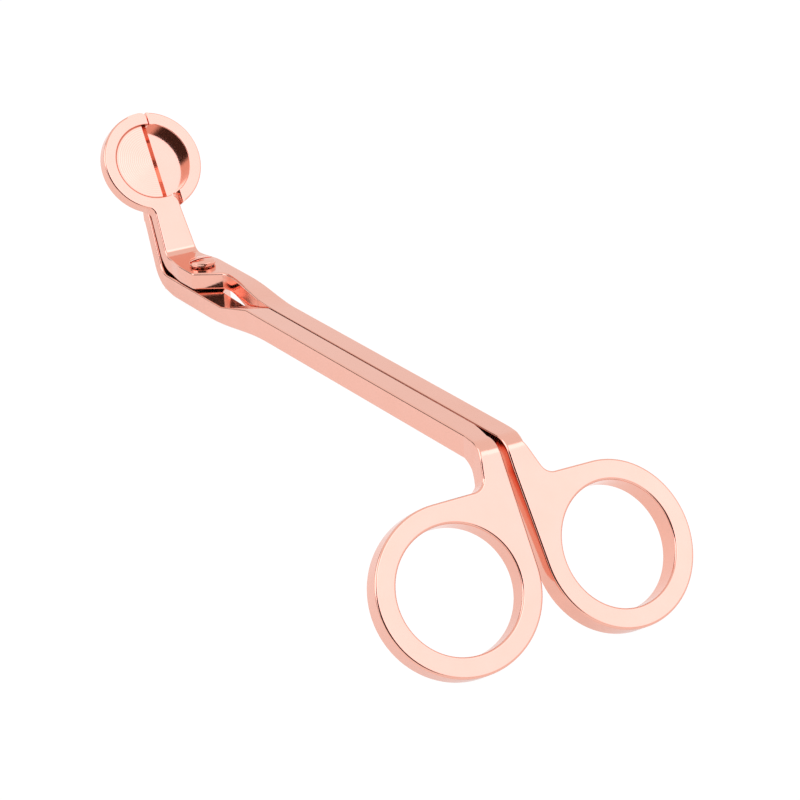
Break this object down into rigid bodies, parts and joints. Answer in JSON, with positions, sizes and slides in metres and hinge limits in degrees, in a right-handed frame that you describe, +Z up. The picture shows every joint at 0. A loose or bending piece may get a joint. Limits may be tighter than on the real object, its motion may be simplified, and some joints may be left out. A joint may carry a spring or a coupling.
{
  "type": "wick trimmer",
  "caption": "Long cranked candle wick trimmer: two crossed levers with finger bows turn on one pivot and cut the wick over a round catch tray.",
  "frame": {"origin": "on the table under the middle of the trimmer's box, as it lies on the rear rims of its finger bows and the heel of its lower lever", "axes": "+Y from the finger bows towards the cutting head, +Z up from the table, +X towards the bow of the lever that carries the cutting half"},
  "size_m": [0.0638, 0.1786, 0.0319],
  "materials": {
    "blade_lever_plate": "polished rose gold plate on stainless steel",
    "tray_lever_plate": "polished rose gold plate on stainless steel",
    "pivot_plate": "polished rose gold plate on steel",
    "washer_steel": "plain steel"
  },
  "bodies": {
    "tray_side": {"tray_lever": "tray_lever_plate", "pivot_screw": "pivot_plate", "pivot_nut": "pivot_plate", "pivot_washer": "washer_steel"},
    "blade_side": {"blade_lever": "blade_lever_plate"}
  },
  "joints": [
    {"name": "lever_pivot", "type": "hinge", "parent": "tray_side", "child": "blade_side", "pos_m": [0, 0.05457, 0.00809], "axis": [0, 0.2001, 0.9798], "range_deg": [0, 30]}
  ]
}
